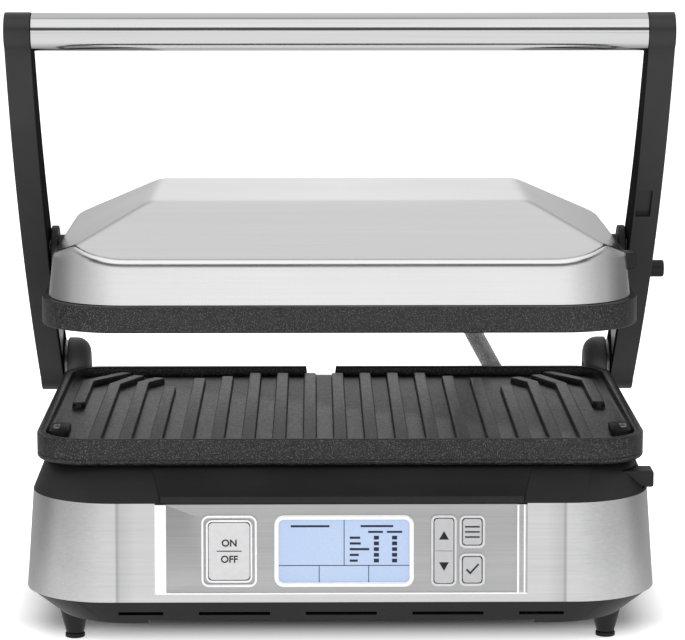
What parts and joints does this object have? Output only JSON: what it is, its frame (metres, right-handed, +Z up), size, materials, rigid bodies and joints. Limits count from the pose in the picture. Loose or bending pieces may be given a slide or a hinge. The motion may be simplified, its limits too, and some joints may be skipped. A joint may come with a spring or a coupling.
{
  "type": "electric indoor grill with lid",
  "caption": "Countertop contact grill: steel-banded base with a control panel, ribbed cast plates, and a steel lid carried on two curved arms joined by a tubular handle.",
  "frame": {"origin": "on the table under the centre of the base", "axes": "+X to the right of someone facing the control panel, +Y to the rear, +Z up; the control panel faces -Y"},
  "size_m": [0.3745, 0.3186, 0.3417],
  "materials": {
    "black_plastic": "fine satin grain",
    "arm_plastic": "satin",
    "brushed_steel": "brushed",
    "zinc_steel": "plain",
    "cast_plate": "speckled dark non-stick coating on cast aluminium",
    "button_silver": "silver paint, satin",
    "ring_silver": "bright",
    "display_glass": "clear",
    "display_blue": "lit pale blue",
    "board_green": "solder mask",
    "rubber": "matt",
    "heater_metal": "heat-stained sheath",
    "reflector_metal": "bright",
    "bush_plastic": "plain",
    "insulation": "felted mineral fibre",
    "braid": "woven wire"
  },
  "bodies": {
    "base": {"base_pan": "black_plastic", "base_shell": "black_plastic", "front_band": "brushed_steel", "control_panel": "brushed_steel", "panel_rings": "ring_silver", "display_frame": "ring_silver", "display_module": "display_blue", "display_lens": "display_glass", "control_board": "board_green", "power_board": "board_green", "feet": "black_plastic", "foot_pads": "rubber", "base_screws": "zinc_steel", "hinge_tower_left": "black_plastic", "hinge_tower_right": "black_plastic", "hinge_pins": "zinc_steel", "lower_reflector": "reflector_metal", "lower_heater": "heater_metal", "lower_sensor": "zinc_steel", "plate_clips": "zinc_steel", "power_inlet": "rubber", "conduit_gland_base": "black_plastic", "lid_conduit": "braid"},
    "hinge_link": {"hinge_discs": "zinc_steel"},
    "arms": {"left_arm": "arm_plastic", "right_arm": "arm_plastic", "arm_straps": "zinc_steel", "handle_tube": "brushed_steel", "handle_rod": "zinc_steel", "handle_caps": "black_plastic", "pivot_bolts": "zinc_steel"},
    "lid_bushes": {"pivot_bushes": "bush_plastic"},
    "lid": {"lid_cover": "brushed_steel", "lid_frame": "black_plastic", "pivot_brackets": "black_plastic", "upper_heater": "heater_metal", "upper_reflector": "reflector_metal", "lid_insulation": "insulation", "upper_sensor": "zinc_steel", "lid_screws": "zinc_steel", "conduit_gland_lid": "black_plastic"},
    "lower_plate_body": {"lower_plate": "cast_plate"},
    "upper_plate_body": {"upper_plate": "cast_plate"},
    "drip_tray_body": {"drip_tray": "black_plastic"},
    "power_button_body": {"power_button": "button_silver"},
    "arrow_rocker_body": {"arrow_rocker": "button_silver"},
    "menu_button_body": {"menu_button": "button_silver"},
    "confirm_button_body": {"confirm_button": "button_silver"},
    "lower_release_body": {"lower_release_button": "black_plastic"},
    "upper_release_body": {"upper_release_button": "black_plastic"},
    "hinge_lever_body": {"hinge_lever": "black_plastic"}
  },
  "joints": [
    {"name": "cover_fold", "type": "hinge", "parent": "base", "child": "hinge_link", "pos_m": [0, 0.136, 0.1145], "axis": [-1, 0, 0], "range_deg": [0, 151.5], "deforming": ["lid_conduit"]},
    {"name": "cover_close", "type": "hinge", "parent": "hinge_link", "child": "arms", "pos_m": [0, 0.136, 0.1145], "axis": [1, 0, 0], "range_deg": [0, 26.4]},
    {"name": "lid_float", "type": "hinge", "parent": "arms", "child": "lid_bushes", "pos_m": [0, 0.0374, 0.2005], "axis": [-1, 0, 0], "range_deg": [-1, 27.4]},
    {"name": "lid_turn", "type": "hinge", "parent": "lid_bushes", "child": "lid", "pos_m": [0, 0.0374, 0.2005], "axis": [-1, 0, 0], "range_deg": [-1, 29.5]},
    {"name": "lower_plate_lift", "type": "slide", "parent": "base", "child": "lower_plate_body", "axis": [0, 0, 1], "range_m": [0, 0.045]},
    {"name": "upper_plate_drop", "type": "slide", "parent": "lid", "child": "upper_plate_body", "axis": [0, 0, -1], "range_m": [0, 0.034]},
    {"name": "drip_tray_slide", "type": "slide", "parent": "base", "child": "drip_tray_body", "axis": [0, 1, 0], "range_m": [0, 0.068]},
    {"name": "power_button_press", "type": "slide", "parent": "base", "child": "power_button_body", "axis": [0, 0.9972, -0.0751], "range_m": [0, 0.0012], "stiffness_N_per_m": 400},
    {"name": "arrow_rocker_tilt", "type": "hinge", "parent": "base", "child": "arrow_rocker_body", "pos_m": [0.0547, -0.13634, 0.05968], "axis": [1, 0, 0], "range_deg": [-2.5, 2.5], "stiffness_Nm_per_rad": 0.05},
    {"name": "menu_button_press", "type": "slide", "parent": "base", "child": "menu_button_body", "axis": [0, 0.9972, -0.0751], "range_m": [0, 0.0012], "stiffness_N_per_m": 400},
    {"name": "confirm_button_press", "type": "slide", "parent": "base", "child": "confirm_button_body", "axis": [0, 0.9972, -0.0751], "range_m": [0, 0.0012], "stiffness_N_per_m": 400},
    {"name": "lower_release_press", "type": "slide", "parent": "base", "child": "lower_release_body", "axis": [-1, 0, 0], "range_m": [0, 0.003], "stiffness_N_per_m": 400},
    {"name": "upper_release_press", "type": "slide", "parent": "lid", "child": "upper_release_body", "axis": [-1, 0, 0], "range_m": [0, 0.003], "stiffness_N_per_m": 400},
    {"name": "hinge_lever_slide", "type": "slide", "parent": "arms", "child": "hinge_lever_body", "axis": [0, 0.7071, -0.7071], "range_m": [0, 0.005], "stiffness_N_per_m": 400}
  ],
  "couplings": [
    {"joint": "lid_float", "follows": "cover_close", "ratio": 1},
    {"joint": "lid_turn", "follows": "cover_fold", "ratio": 0.18812}
  ]
}
